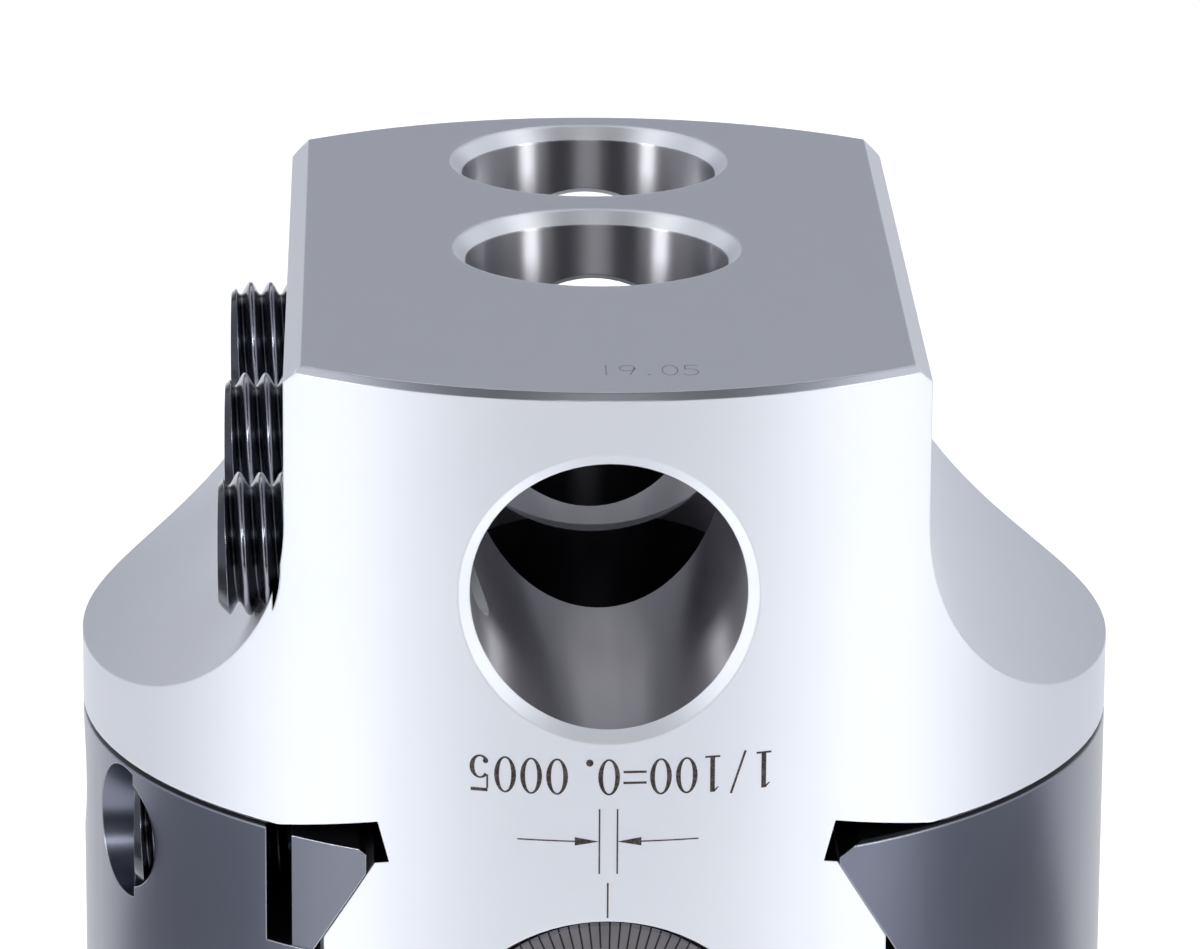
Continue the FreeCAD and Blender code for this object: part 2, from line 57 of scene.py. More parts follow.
# %% [markdown]
# ## Places read from the model
# Everything that is added later sits on a solid that is already there. So its place is read from
# the boxes of the nodes. The few sizes that a box can't tell are named in the cell that first needs
# them. All of them are in metres, Blender's own unit.

# %% Read the main places
body_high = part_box("head_body")[1]
slide_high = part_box("bar_slide")[1]
HEAD_RADIUS = body_high.x
BODY_TOP = body_high.z
SLIDE_TOP = slide_high.z
print("head radius", HEAD_RADIUS, "body top", BODY_TOP, "slide top", SLIDE_TOP)

# %% [markdown]
# ## Helpers for materials
# A colour is written as it looks on a screen, and Blender works in linear light, so one function
# turns it over. Another adds a shader node with its settings and links in a single call. A material
# could be built from dozens of single lines instead, but then its idea gets lost among them. Inputs
# are given by name or by number. A Mix node takes its share at 0, two plain values at 2 and 3, two
# vectors at 4 and 5 and two colours at 6 and 7. Map Range takes a range at 1 and 2 to one at 3 and 4.


# %% Colour helper
def colour(hex_code):
    """Linear RGBA of an sRGB colour such as #9B9DA4."""
    parts = [int(hex_code[i:i + 2], 16) / 255 for i in (1, 3, 5)]
    return [p / 12.92 if p <= 0.04045 else ((p + 0.055) / 1.055) ** 2.4 for p in parts] + [1.0]


print("steel grey in linear light", colour("#9B9DA4"))


# %% Node helpers
def connect(tree, node, inputs):
    """Sets inputs of a node. A value is set, and a socket or another node's first output is linked."""
    for name, value in inputs.items():
        if isinstance(value, bpy.types.Node):
            value = next(socket for socket in value.outputs if socket.enabled)
        if isinstance(value, bpy.types.NodeSocket):
            tree.links.new(value, node.inputs[name])
        else:
            node.inputs[name].default_value = value


def add(tree, kind, inputs=None, **settings):
    """Adds a shader node with its settings and inputs."""
    node = tree.nodes.new("ShaderNode" + kind)
    for name, value in settings.items():
        setattr(node, name, value)
    connect(tree, node, inputs or {})
    return node


def start_material(name):
    """New material with one Principled shader."""
    material = bpy.data.materials.new(name)
    material.use_nodes = True
    tree = material.node_tree
    print("material", name)
    return material, tree, tree.nodes["Principled BSDF"]


print("materials so far", len(bpy.data.materials))

# %% [markdown]
# ## Camera
# The camera was fitted to the photograph: a very long lens, a little above the object and just left
# of straight on. Its place is written as a distance and two angles from the point that it looks at,
# because these can be read as a sentence, and three coordinates and a rotation can't.

# %% Place the camera
VIEW_TARGET = Vector((0.337, 0, 62.955)) * MM
VIEW_DISTANCE = 568.194 * MM
VIEW_AZIMUTH = math.radians(-1.637)
VIEW_ELEVATION = math.radians(17.218)
VIEW_ROLL = math.radians(0.395)
SENSOR_WIDTH_MM = 36.0
LENS_MM = 233.516


def direction(azimuth, elevation):
    """Unit vector for two angles. Azimuth 0 is the front, where the dial is."""
    level = math.cos(elevation)
    return Vector((math.sin(azimuth) * level, -math.cos(azimuth) * level, math.sin(elevation)))


towards_camera = direction(VIEW_AZIMUTH, VIEW_ELEVATION)
camera_data = bpy.data.cameras.new("camera")
camera_data.sensor_width = SENSOR_WIDTH_MM
camera_data.sensor_fit = "HORIZONTAL"
camera_data.lens = LENS_MM
camera_data.clip_start = 0.01
camera = bpy.data.objects.new("camera", camera_data)
bpy.context.scene.collection.objects.link(camera)
camera.location = VIEW_TARGET + towards_camera * VIEW_DISTANCE
camera.rotation_mode = "QUATERNION"
camera.rotation_quaternion = (Quaternion(towards_camera, VIEW_ROLL)
                              @ (-towards_camera).to_track_quat("-Z", "Y"))
bpy.context.scene.camera = camera
print("camera at", camera.location)

# %% [markdown]
# ## Studio floor
# Bright metal shows what stands around it, so the studio matters as much as the finish. The floor is
# matt white paper. More light would make it whiter, but would burn out the steel too. So it glows a
# little instead, and only the camera, mirrors and glass see the glow. It still takes the shadow.

# %% Floor
FLOOR_SIZE = 8.0
FLOOR_GLOW = 0.45


def seen_directly(tree):
    """One for rays from the camera, from gloss or through glass, and zero for soft light."""
    path = add(tree, "LightPath")
    seen = add(tree, "Math", {0: path.outputs["Is Camera Ray"], 1: path.outputs["Is Glossy Ray"]},
               operation="MAXIMUM")
    return add(tree, "Math", {0: seen, 1: path.outputs["Is Transmission Ray"]}, operation="MAXIMUM")


def white_paper():
    """Material of the floor."""
    # Matt white paper gives the eye one even pale ground, with no gloss and no grain.
    material, tree, shader = start_material("white_studio_floor")
    glow = add(tree, "Math", {0: seen_directly(tree), 1: FLOOR_GLOW}, operation="MULTIPLY")
    connect(tree, shader, {"Base Color": colour("#E6E6E8"), "Roughness": 0.9, "Specular IOR Level": 0.0,
                           "Emission Color": colour("#FFFFFF"), "Emission Strength": glow})
    return material


bpy.ops.mesh.primitive_plane_add(size=FLOOR_SIZE, location=(0, 0, 0))
floor = bpy.context.object
floor.name = "floor"
floor.data.materials.append(white_paper())
print("floor", FLOOR_SIZE, "m wide")

# %% [markdown]
# ## Reflector cards
# A product photographer puts grey and white cards round a bright metal object, because the metal's
# tones are the tones of the cards. Here they glow by themselves and only reflections see them, so
# each one sets the tone of one side of the object and changes nothing else. A picture of a room all
# round would be the other way, but then no tone could be set by itself.

# %% Paper of a card
PAPER_LIGHT = "#F6F8FF"


def card_paper(name, first, second, along="X"):
    """Material that glows from one grey in the middle of a card to another at its ends."""
    # Glowing paper gives the eye a soft tone in the metal, with no edge inside it where it fades.
    material, tree, shader = start_material(name)
    place = add(tree, "SeparateXYZ", {0: add(tree, "TexCoord").outputs["Object"]})
    reach = add(tree, "Math", {0: place.outputs[along]}, operation="ABSOLUTE")
    glow = add(tree, "MapRange", {0: reach, 1: 0.0, 2: 0.5, 3: first, 4: second},
               interpolation_type="SMOOTHSTEP")
    connect(tree, shader, {"Base Color": (0, 0, 0, 1), "Specular IOR Level": 0.0,
                           "Emission Color": colour(PAPER_LIGHT), "Emission Strength": glow})
    return material


print("paper glows in", PAPER_LIGHT, "or", [round(part, 3) for part in colour(PAPER_LIGHT)])

# %% [markdown]
# A card is one plane. Most stand on the floor round the object and face it. The rest lie on the floor,
# half a millimetre above it, where the lower sides of the object mirror them.

# %% Add a card
CARD_DISTANCE = 0.55
FLOOR_CARD_LIFT = 0.5 * MM


def add_card(name, place, size, turn, material):
    """Flat card that only reflections see."""
    bpy.ops.mesh.primitive_plane_add(size=1, location=place, rotation=turn)
    card = bpy.context.object
    card.name = name
    card.scale = (size[0], size[1], 1)
    card.data.materials.append(material)
    card.visible_camera = False
    card.visible_shadow = False
    card.visible_diffuse = False
    print("card", name, size)


def add_upright_card(name, azimuth, size, material):
    """Card that stands on the floor and faces the object."""
    place = direction(azimuth, 0) * CARD_DISTANCE + Vector((0, 0, size[1] / 2))
    add_card(name, place, size, (math.pi / 2, 0, azimuth), material)


def add_floor_card(name, x_range, y_range, glow):
    """Card that lies on the floor, of one grey."""
    place = (sum(x_range) / 2, sum(y_range) / 2, FLOOR_CARD_LIFT)
    size = (x_range[1] - x_range[0], y_range[1] - y_range[0])
    add_card(name, place, size, (0, 0, 0), card_paper(name + "_paper", glow, glow))


print("upright cards stand", CARD_DISTANCE, "m from the middle")

# %% [markdown]
# The card behind is what the end face mirrors. It is dark at its middle height and bright at its top
# and foot, so the face stays a quiet grey. The one on the camera's side is nearly black, and so is the
# floor there, as if the table ended, which keeps the middle of the round front grey. The sides are
# bright. The two small cards next to the object are darker, for the soft shade that runs up the
# slide's hollow flanks.

# %% Place the cards
TABLE_EDGE_Y = -0.15
TABLE_DROP_Y = -0.75
TABLE_DROP_HALF = 0.165
NEAR_X = (0.090, 0.185)
NEAR_Y = (-0.062, 0.045)
FAR_X = (0.185, 0.685)
FAR_Y = (-0.150, 0.350)
SIDE_CARD_AZIMUTH = math.radians(112)
OVERHEAD_HEIGHT = 0.6

add_upright_card("back_card", math.pi, (0.9, 0.48), card_paper("back_card_paper", 0.0, 1.95, "Y"))
add_upright_card("camera_side_card", 0, (0.9, 0.7), card_paper("camera_side_paper", 0.03, 0.05))
add_card("overhead_card", (0, 0, OVERHEAD_HEIGHT), (0.9, 0.9), (0, 0, 0),
         card_paper("overhead_paper", 0.06, 0.36))
add_floor_card("table_front", (-TABLE_DROP_HALF, TABLE_DROP_HALF), (TABLE_DROP_Y, TABLE_EDGE_Y), 0.05)
for side, name in ((-1, "left"), (1, "right")):
    add_upright_card(name + "_side_card", side * SIDE_CARD_AZIMUTH, (0.5, 0.7),
                     card_paper(name + "_side_paper", 0.75, 0.75))
    add_floor_card(name + "_near_floor", sorted(side * x for x in NEAR_X), NEAR_Y, 0.33)
    add_floor_card(name + "_far_floor", sorted(side * x for x in FAR_X), FAR_Y, 0.90)

# %% [markdown]
# ## Soft boxes
# Two small soft boxes stand at the front corners. They make the two bright bands on the slide's round
# front and the upright ones in its bores. Large lamps would wash the whole front white. A third soft
# box hangs over the camera and lights the middle of the front.

# %% Soft boxes
CORNER_AZIMUTH = math.radians(60)


def add_soft_box(name, azimuth, height, size, power):
    """Area lamp that looks at the object."""
    data = bpy.data.lights.new(name, "AREA")
    data.shape = "RECTANGLE"
    data.size, data.size_y = size
    data.energy = power
    lamp = bpy.data.objects.new(name, data)
    bpy.context.scene.collection.objects.link(lamp)
    lamp.location = direction(azimuth, 0) * CARD_DISTANCE + Vector((0, 0, height))
    lamp.rotation_euler = (VIEW_TARGET - lamp.location).to_track_quat("-Z", "Y").to_euler()
    print("lamp", name, size, "m,", power, "W")


for side, name in ((-1, "left"), (1, "right")):
    add_soft_box(name + "_soft_box", side * CORNER_AZIMUTH, 0.225, (0.14, 0.10), 0.98)
add_soft_box("camera_top_soft_box", 0, 0.40, (0.24, 0.16), 0.95)

# %% [markdown]
# The air of the room fills the shadows. It is plain white where it is seen directly, and a quarter
# weaker as light, so the steel keeps its contrast.

# %% Air of the room
AIR_LIGHT = 0.75
world = bpy.data.worlds.new("studio_air")
world.use_nodes = True
air = world.node_tree
strength = add(air, "Math", {0: seen_directly(air), 1: 1 - AIR_LIGHT, 2: AIR_LIGHT},
               operation="MULTIPLY_ADD")
connect(air, air.nodes["Background"], {"Color": colour("#FFFFFF"), "Strength": strength})
bpy.context.scene.world = world
bpy.context.scene.view_settings.view_transform = "Standard"
print("air lights with", AIR_LIGHT)

# %% [markdown]
# ## Finding a place on the steel
# One piece of steel has several finishes: the slide is turned outside, ground on its end and honed in
# its bores. Its faces could each get a material of their own, but the solid's mesh is left alone. So
# the shader tells the surfaces apart by where a point lies, which its Object coordinates say. A sharp
# edge is found with a Bevel node: near an edge the rounded normal leans away from the flat one.

# %% Distance and edge helpers
EDGE_BEGINS = 0.995
EDGE_FULL = 0.90


def distance_from_axis(tree, first, second):
    """Distance from an axis, from the two coordinates across it."""
    square = add(tree, "Math", {0: first, 1: first}, operation="MULTIPLY")
    both = add(tree, "Math", {0: second, 1: second, 2: square}, operation="MULTIPLY_ADD")
    return add(tree, "Math", {0: both}, operation="SQRT")


def rounded_edges(tree, radius):
    """Normal that is rounded at edges of that radius."""
    return add(tree, "Bevel", {"Radius": radius}, samples=6)


def edge_share(tree, rounded):
    """One on a sharp edge and zero away from it, from the rounded normal."""
    flat = add(tree, "NewGeometry").outputs["Normal"]
    agreement = add(tree, "VectorMath", {0: rounded, 1: flat}, operation="DOT_PRODUCT")
    return add(tree, "MapRange", {0: agreement, 1: EDGE_BEGINS, 2: EDGE_FULL, 3: 0.0, 4: 1.0})


print("an edge begins where the normal leans", round(math.degrees(math.acos(EDGE_BEGINS)), 1), "degrees")

# %% [markdown]
# ## Ground steel
# The slide is tool steel, turned outside, ground on its end and bored. It is a metal, so its colour is
# the colour of its reflections. Turning and boring leave fine rings, and light that falls on rings is
# spread along the axis that they run round, never across it. That is why a bore shows upright bands of
# light, and why the front keeps one tone from top to bottom. Anisotropic shading makes this, with the
# bore's own axis as its direction. The blind ends below the crossing are painted nearly black, as
# painted shade deep in the holes, and the bore walls a darker steel, partly as painted shade.

# %% Masks of the bores
clamp_low, clamp_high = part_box("clamp_screw_offset")
OFFSET_BORE_Y = (clamp_low.y + clamp_high.y) / 2
CROSS_BORE_Z = (clamp_low.z + clamp_high.z) / 2
BORE_RADIUS = 9.53 * MM
BORE_MOUTH = 0.85 * MM
WALL_REACH = BORE_RADIUS + 0.02 * MM
MOUTH_REACH = BORE_RADIUS + BORE_MOUTH - 0.01 * MM
BLIND_TOP = CROSS_BORE_Z - BORE_RADIUS + 1 * MM


def bore_masks(tree, x, y, z):
    """Masks of the bores' walls and mouths by name, one where a point lies on them."""
    offset_y = add(tree, "Math", {0: y, 1: OFFSET_BORE_Y}, operation="SUBTRACT")
    cross_z = add(tree, "Math", {0: z, 1: CROSS_BORE_Z}, operation="SUBTRACT")
    from_cross = distance_from_axis(tree, x, cross_z)
    nearest = add(tree, "Math", {0: distance_from_axis(tree, x, y),
                                 1: distance_from_axis(tree, x, offset_y)}, operation="MINIMUM")
    nearest = add(tree, "Math", {0: nearest, 1: from_cross}, operation="MINIMUM")
    masks = {}
    for name, distance, reach in (("mouth", nearest, MOUTH_REACH),
                                  ("cross_mouth", from_cross, MOUTH_REACH),
                                  ("bore", nearest, WALL_REACH), ("cross", from_cross, WALL_REACH)):
        masks[name] = add(tree, "Math", {0: distance, 1: reach}, operation="LESS_THAN")
    # The blind ends below the crossing get a mask of their own, for painted shade.
    low = add(tree, "Math", {0: z, 1: BLIND_TOP}, operation="LESS_THAN")
    blind_end_shade = add(tree, "Math", {0: low, 1: masks["bore"]}, operation="MULTIPLY")
    masks["blind_end_shade"] = add(tree, "Math", {0: blind_end_shade, 1: masks["cross"]}, operation="SUBTRACT", use_clamp=True)
    return masks


print("cross bore at", CROSS_BORE_Z, "offset bore at", OFFSET_BORE_Y)

# %% [markdown]
# A thin chamfer runs round the slide's top, finer than the ground face beside it. Two milled grooves
# run between the slide's seat and its dovetail, under the slide, and are painted near black as shade.

# %% Masks of the outside
SLIDE_SEAT = BODY_TOP + 0.02 * MM
RELIEF_INNER = 15.0 * MM
RELIEF_MIDDLE = SLIDE_SEAT + 0.33 * MM
RELIEF_HALF_HEIGHT = 1.62 * MM
RIM_REACH = 0.5 * MM


def top_masks(tree, x, y, z):
    """Masks of the ground end face and of the chamfer round it."""
    end_face = add(tree, "Math", {0: z, 1: SLIDE_TOP - 0.05 * MM}, operation="GREATER_THAN")
    high = add(tree, "Math", {0: z, 1: SLIDE_TOP - RIM_REACH}, operation="GREATER_THAN")
    outer = add(tree, "Math", {0: distance_from_axis(tree, x, y), 1: HEAD_RADIUS - RIM_REACH},
                operation="GREATER_THAN")
    return {"end_face": end_face, "rim": add(tree, "Math", {0: outer, 1: high}, operation="MULTIPLY")}


def relief_mask(tree, x, y, z):
    """Mask of the two milled grooves, painted near black as shade, without the seat and the round outside.
    """
    from_seat = add(tree, "Math", {0: z, 1: SLIDE_SEAT}, operation="SUBTRACT")
    from_middle = add(tree, "Math", {0: z, 1: RELIEF_MIDDLE}, operation="SUBTRACT")
    heights = [add(tree, "Math", {0: height}, operation="ABSOLUTE") for height in (from_seat, from_middle)]
    off_seat = add(tree, "Math", {0: heights[0], 1: 0.02 * MM}, operation="GREATER_THAN")
    level = add(tree, "Math", {0: heights[1], 1: RELIEF_HALF_HEIGHT}, operation="LESS_THAN")
    across = add(tree, "Math", {0: x}, operation="ABSOLUTE")
    side = add(tree, "Math", {0: across, 1: RELIEF_INNER}, operation="GREATER_THAN")
    inside = add(tree, "Math", {0: distance_from_axis(tree, x, y), 1: HEAD_RADIUS - 0.08 * MM},
                 operation="LESS_THAN")
    mask = off_seat
    for part in (level, side, inside):
        mask = add(tree, "Math", {0: mask, 1: part}, operation="MULTIPLY")
    return mask


print("grooves", 2 * RELIEF_HALF_HEIGHT, "m high, from", RELIEF_INNER, "m out")

# %% [markdown]
# The masks then lay one colour and roughness over another, painted shade among them. A later one
# wins, so the walls of the bores come before their blind ends. Clean steel starts close to white, at a
# roughness near 0.8 across rings left by a cutting tool, and 0.33 in a honed bore.

# %% Ground steel
CLOUD_SIZE = 20 * MM
RING_STEP = MM / 14
RING_LENGTH = 2.5 * MM
# The bore walls are a darker steel than the outside, partly as painted shade inside them. The blind ends
# are near black, as painted shade deep in the holes.
SURFACE_COLOURS = {"end_face": "#DADDE6", "bore": "#BCBCC2", "cross": "#B2B1B8", "blind_end_shade": "#4E4E54",
                   # The near black of the grooves is painted shade under the slide.
                   "rim": "#CDD1DC", "groove": "#1A1A1D"}
SURFACE_ROUGHNESS = {"rim": 0.35, "mouth": 0.55, "cross_mouth": 0.70, "bore": 0.33}
SLIDE_EDGE = 0.2 * MM
RING_DEPTH = 0.02 * MM


def ground_steel():
    """Material of the slide."""
    # Ground and turned tool steel gives the eye a clean bright grey without colour. Upright bands of
    # light stand on all that is round, and the flat end keeps one quiet tone.
    material, tree, shader = start_material("ground_tool_steel")
    place = add(tree, "TexCoord").outputs["Object"]
    x, y, z = add(tree, "SeparateXYZ", {0: place}).outputs
    masks = bore_masks(tree, x, y, z) | top_masks(tree, x, y, z) | {"groove": relief_mask(tree, x, y, z)}
    cloud = add(tree, "TexNoise", {"Vector": place, "Scale": 1 / CLOUD_SIZE, "Detail": 3.0})
    base = add(tree, "Mix", {0: cloud, 6: colour("#F0F3FA"), 7: colour("#F5F7FC")}, data_type="RGBA")
    for name, hex_code in SURFACE_COLOURS.items():
        base = add(tree, "Mix", {0: masks[name], 6: base, 7: colour(hex_code)}, data_type="RGBA")
    # The rings are as far apart as the feed of a finishing cut, 0.07 mm, about one pixel here.
    rings = add(tree, "Mapping", {"Vector": place,
                                  "Scale": (1 / RING_LENGTH, 1 / RING_LENGTH, 1 / RING_STEP)})
    lay = add(tree, "TexNoise", {"Vector": rings, "Scale": 1.0, "Detail": 2.0})
    rough = add(tree, "MapRange", {0: lay, 1: 0.2, 2: 0.8, 3: 0.77, 4: 0.81})
    for name, value in SURFACE_ROUGHNESS.items():
        rough = add(tree, "Mix", {0: masks[name], 2: rough, 3: value})
    bump = add(tree, "Bump", {"Height": lay, "Strength": 0.03, "Distance": RING_DEPTH,
                              "Normal": rounded_edges(tree, SLIDE_EDGE)})
    # A tangent may not lie along the normal, so each axis leans a hundredth to the side.
    ring_axis = add(tree, "Mix", {0: masks["cross"], 4: (0.01, 0, 1), 5: (0.01, 1, 0.01)},
                    data_type="VECTOR")
    stretch = add(tree, "Mix", {0: masks["bore"], 2: 0.75, 3: 1.0})
    connect(tree, shader, {"Base Color": base, "Metallic": 1.0, "Roughness": rough, "Normal": bump,
                           "Anisotropic": stretch, "Tangent": ring_axis})
    return material


finishes = {"ground_steel": ground_steel()}
print("shader nodes", len(finishes["ground_steel"].node_tree.nodes))

# %% [markdown]
# ## Black oxide
# The body is turned steel that was blackened in a hot salt bath. The layer is only a few thousandths of
# a millimetre, so it is drawn as a dark metal and not as paint: the steel's gloss shows through, dark
# in front and pale at a glancing angle. Its edges are painted lighter, partly as steel worn bare by
# hands and partly as a painted highlight. The chamfer round the body's top is painted near black, as
# painted shade under the slide.

# %% Black oxide
OXIDE_CLOUD_SIZE = 6.67 * MM
TOP_CHAMFER_HEIGHT = 0.22 * MM
TOP_CHAMFER_WIDTH = 0.38 * MM
BODY_EDGE = 0.15 * MM
EDGE_WEAR_AND_HIGHLIGHT = 0.7


def black_oxide():
    """Material of the body."""
    # Black oxide gives the eye a blue grey with a deep, clear gloss, and thin bright lines on its edges,
    # partly worn steel and partly a painted highlight.
    material, tree, shader = start_material("black_oxide_on_turned_steel")
    place = add(tree, "TexCoord").outputs["Object"]
    x, y, z = add(tree, "SeparateXYZ", {0: place}).outputs
    rounded = rounded_edges(tree, BODY_EDGE)
    cloud = add(tree, "TexNoise", {"Vector": place, "Scale": 1 / OXIDE_CLOUD_SIZE, "Detail": 4.0})
    dark = add(tree, "Mix", {0: cloud, 6: colour("#6E7180"), 7: colour("#747887")}, data_type="RGBA")
    # Edges are painted lighter, partly as wear and partly as a painted highlight.
    wear_and_highlight = add(tree, "Math", {0: edge_share(tree, rounded), 1: EDGE_WEAR_AND_HIGHLIGHT}, operation="MULTIPLY")
    base = add(tree, "Mix", {0: wear_and_highlight, 6: dark, 7: colour("#B9BBC2")}, data_type="RGBA")
    # The chamfer round the top is painted near black, as painted shade under the slide.
    high = add(tree, "Math", {0: z, 1: BODY_TOP - TOP_CHAMFER_HEIGHT}, operation="GREATER_THAN")
    outer = add(tree, "Math", {0: distance_from_axis(tree, x, y), 1: HEAD_RADIUS - TOP_CHAMFER_WIDTH},
                operation="GREATER_THAN")
    chamfer_shade = add(tree, "Math", {0: high, 1: outer}, operation="MULTIPLY")
    base = add(tree, "Mix", {0: chamfer_shade, 6: base, 7: colour("#2A2B30")}, data_type="RGBA")
    connect(tree, shader, {"Base Color": base, "Metallic": 1.0, "Roughness": 0.30, "Normal": rounded})
    return material


finishes["black_oxide_steel"] = black_oxide()
print("shader nodes", len(finishes["black_oxide_steel"].node_tree.nodes))

# %% [markdown]
# ## Dial steel
# The dial is turned from plain steel, faced and left satin, so that its lines read without glare. A
# thin black line round its rim is painted shadow of the gap round the dial. Hands and oil leave faint
# stains a few millimetres across, which keep the face from looking like one flat grey.

# %% Dial steel
dial_low, dial_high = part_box("micrometer_dial")
DIAL_AXIS_Z = (dial_low.z + dial_high.z) / 2
DIAL_RADIUS = (dial_high.z - dial_low.z) / 2
DIAL_FACE_Y = dial_low.y
DIAL_SHADOW_LINE = 0.14 * MM
STAIN_SIZE = 2.86 * MM


def dial_steel():
    """Material of the dial."""
    # Satin steel gives the eye a mid grey with a broad, soft shine. The black line round it is painted
    # shadow, of the gap round the dial.
    material, tree, shader = start_material("satin_dial_steel")
    place = add(tree, "TexCoord").outputs["Object"]
    x, y, z = add(tree, "SeparateXYZ", {0: place}).outputs
    rise = add(tree, "Math", {0: z, 1: DIAL_AXIS_Z}, operation="SUBTRACT")
    # The rim is painted near black as the shadow in the gap round the dial.
    rim = add(tree, "Math", {0: distance_from_axis(tree, x, rise), 1: DIAL_RADIUS - DIAL_SHADOW_LINE},
              operation="GREATER_THAN")
    stain = add(tree, "TexNoise", {"Vector": place, "Scale": 1 / STAIN_SIZE, "Detail": 5.0})
    face = add(tree, "Mix", {0: stain, 6: colour("#68676B"), 7: colour("#8A858A")}, data_type="RGBA")
    base = add(tree, "Mix", {0: rim, 6: face, 7: colour("#18181A")}, data_type="RGBA")
    connect(tree, shader, {"Base Color": base, "Metallic": 1.0, "Roughness": 0.38})
    return material


finishes["dial_steel"] = dial_steel()
print("dial axis at", DIAL_AXIS_Z, "radius", DIAL_RADIUS)

# %% [markdown]
# ## The other metals
# The small pieces are machined all over and differ in metal and in how they were treated, so one
# function serves them all. It gives the surface a grain of a few tenths of a millimetre and paints the
# edges lighter, partly as bare steel and partly as a painted highlight. A screw's thread is painted
# lighter on its crests in the same way. No edge is left there to find, so the mesh will carry how high
# each point stands in the thread, and the shader reads that as an attribute.

# %% Machined metals
THREAD_HEIGHT = "thread_height"
GRAIN_SIZE = 0.3 * MM
SMALL_EDGE = 0.1 * MM
CREST_WEAR_AND_HIGHLIGHT = 0.82
ROUGHNESS_SPREAD = 0.04


def machined_metal(name, hex_code, roughness, edge_hex):
    """Machined metal with a fine grain, and edges and thread crests painted lighter as wear and as
    highlight.
    """
    material, tree, shader = start_material(name)
    place = add(tree, "TexCoord").outputs["Object"]
    rounded = rounded_edges(tree, SMALL_EDGE)
    height = add(tree, "Attribute", attribute_name=THREAD_HEIGHT).outputs["Fac"]
    crest = add(tree, "MapRange", {0: height, 1: CREST_WEAR_AND_HIGHLIGHT, 2: 1.0})
    # Edges and crests are painted lighter, partly as wear and partly as a painted highlight.
    bare_and_highlight = add(tree, "Math", {0: edge_share(tree, rounded), 1: crest}, operation="MAXIMUM")
    base = add(tree, "Mix", {0: bare_and_highlight, 6: colour(hex_code), 7: colour(edge_hex)}, data_type="RGBA")
    grain = add(tree, "TexNoise", {"Vector": place, "Scale": 1 / GRAIN_SIZE, "Detail": 3.0})
    rough = add(tree, "MapRange", {0: grain, 1: 0.3, 2: 0.7, 3: roughness - ROUGHNESS_SPREAD,
                                   4: roughness + ROUGHNESS_SPREAD})
    connect(tree, shader, {"Base Color": base, "Metallic": 1.0, "Roughness": rough, "Normal": rounded})
    return material


# Hardened steel gives a cool dark grey, half matt from its thin scale, with bright corners that are
# partly bare steel and partly a painted highlight.
finishes["gib_steel"] = machined_metal("hardened_gib_steel", "#787B87", 0.34, "#D5D6DC")
# Turned steel gives a plain mid grey with a soft highlight along each round.
finishes["satin_steel"] = machined_metal("turned_satin_steel", "#A9ABB0", 0.30, "#D0D1D6")
# Oiled black screws are nearly black, with small wet highlights, and grey edges and crests that are
# partly rubbed steel and partly a painted highlight.
finishes["screw_steel"] = machined_metal("oiled_black_screw_steel", "#4C4E56", 0.22, "#8E9099")
# Bronze gives a warm brown gold, and brass a paler and yellower one with a tighter shine.
finishes["bronze"] = machined_metal("machined_bronze", "#B98A4E", 0.28, "#D9B27A")
finishes["brass_pad"] = machined_metal("turned_brass", "#C9A55A", 0.25, "#E5CB8C")
print("finishes", sorted(finishes))

# %% [markdown]
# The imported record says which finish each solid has, so the finishes are given out in a loop. A solid
# keeps its mesh and only its material slot changes.

# %% Give the solids their finishes
slots = {entry["node"]: entry["material_slot"] for entry in frame["record"]["subparts"]}
for node, slot in slots.items():
    frame["nodes"][node].data.materials.clear()
    frame["nodes"][node].data.materials.append(finishes[slot])
print("solids with a finish", len(slots))

# %% [markdown]
# ## Screw threads
# The solids have plain shanks. A thread could be faked with a bump, but its outline shows against the
# light, so it is real geometry. It is a groove that runs round a rod like a spring: one tooth space is
# drawn as a flat outline, the Screw modifier winds it up, and a Boolean takes it out of a copy of the
# plain screw. The sockets and chamfers of the solids stay as they are.


# %% Editing helpers
def choose(piece):
    """Selects one piece alone and makes it active."""
    bpy.ops.object.select_all(action="DESELECT")
    piece.select_set(True)
    bpy.context.view_layer.objects.active = piece


def apply_modifiers(piece):
    """Applies every modifier of a piece."""
    bpy.context.view_layer.objects.active = piece
    for modifier in list(piece.modifiers):
        bpy.ops.object.modifier_apply(modifier=modifier.name)


def edit(piece, *steps):
    """Runs operators on the whole mesh of a piece in edit mode."""
    choose(piece)
    bpy.ops.object.mode_set(mode="EDIT")
    bpy.ops.mesh.select_all(action="SELECT")
    for step in steps:
        step()
    bpy.ops.object.mode_set(mode="OBJECT")


def settle(piece):
    """Moves an object's place and turn into its mesh."""
    choose(piece)
    bpy.ops.object.transform_apply(location=True, rotation=True, scale=True)


print("meshes so far", len(bpy.data.meshes))

# %% [markdown]
# ### Outline of the tooth space
# Root and crest of a rolled thread are round and flow into each other. Half a wave of a cosine is
# close to that, and it needs few points if they are set by slope: each next facet then turns by a like
# angle, and the light runs smoothly over them.

# %% Tooth space
THREAD_DEPTH_SHARE = 0.6134
CREST_SHARE = 1 / 16
GROOVE_OVERSHOOT = 0.02 * MM
ROOT_ANGLES = (0, 16, 32, 48, 58)
CREST_ANGLES = (58, 40, 22)


